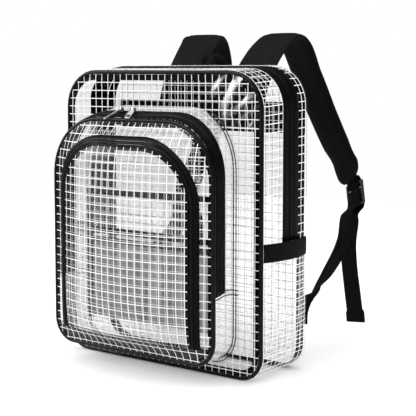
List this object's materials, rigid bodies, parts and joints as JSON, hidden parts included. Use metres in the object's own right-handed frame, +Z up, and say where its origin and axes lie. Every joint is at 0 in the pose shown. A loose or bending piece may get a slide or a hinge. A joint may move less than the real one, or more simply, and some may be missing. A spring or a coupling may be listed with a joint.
{
  "type": "clear backpack",
  "caption": "Upright clear grid-film backpack with black piping, arched front pockets, side pockets, padded straps and hanging webbing tails.",
  "frame": {"origin": "centre of the flat base of the main body, on the floor", "axes": "+Z up, -Y out of the front pocket's face, +X to the wearer's left as seen from the front (right in the picture)"},
  "size_m": [0.3206, 0.3267, 0.4019],
  "materials": {
    "film": "clear flexible film with a white thread grid",
    "trim": "satin black piping and binding",
    "tape": "black woven zip tape and coil",
    "strap": "black woven polyester",
    "mesh": "grey open mesh",
    "metal": "bright plated zinc",
    "plastic": "black moulded plastic"
  },
  "bodies": {
    "bag": {"main_front_panel": "film", "back_panel": "film", "gusset_front_strip": "film", "gusset_rear_strip": "film", "gusset_base": "film", "back_piping": "film", "pocket_front_panel": "film", "flat_pocket_backing": "film", "pocket_gusset_upper": "film", "pocket_gusset_lower": "film", "organizer_panel": "film", "side_pocket_left": "film", "side_pocket_right": "film", "front_piping": "trim", "back_binding": "trim", "pocket_piping": "trim", "organizer_binding_top": "trim", "organizer_binding_mid": "trim", "organizer_binding_left": "trim", "organizer_binding_right": "trim", "main_zip_tape_front": "tape", "main_zip_tape_rear": "tape", "main_zip_coil": "tape", "pocket_zip_tape_front": "tape", "pocket_zip_tape_rear": "tape", "pocket_zip_coil": "tape", "arch_zip_tape_outer": "tape", "arch_zip_tape_inner": "tape", "arch_zip_coil": "tape", "side_band_left": "strap", "side_band_right": "strap", "yoke_band": "strap", "grab_handle": "strap", "strap_left": "strap", "strap_right": "strap", "strap_tab_left": "strap", "strap_tab_right": "strap", "webbing_left": "strap", "webbing_right": "strap", "organizer_mesh": "mesh", "main_zip_slider": "metal", "slider_left": "metal", "slider_right": "metal", "buckle_left": "plastic", "buckle_right": "plastic"},
    "pull_left_body": {"pull_left": "metal"},
    "pull_right_body": {"pull_right": "metal"}
  },
  "joints": [
    {"name": "pull_left_swing", "type": "hinge", "parent": "bag", "child": "pull_left_body", "pos_m": [-0.0265, -0.083, 0.3102], "axis": [-0.9237, 0.3832, 0], "range_deg": [0, 150]},
    {"name": "pull_right_swing", "type": "hinge", "parent": "bag", "child": "pull_right_body", "pos_m": [-0.0086, -0.083, 0.3102], "axis": [-0.9422, -0.3352, 0], "range_deg": [0, 150]}
  ]
}
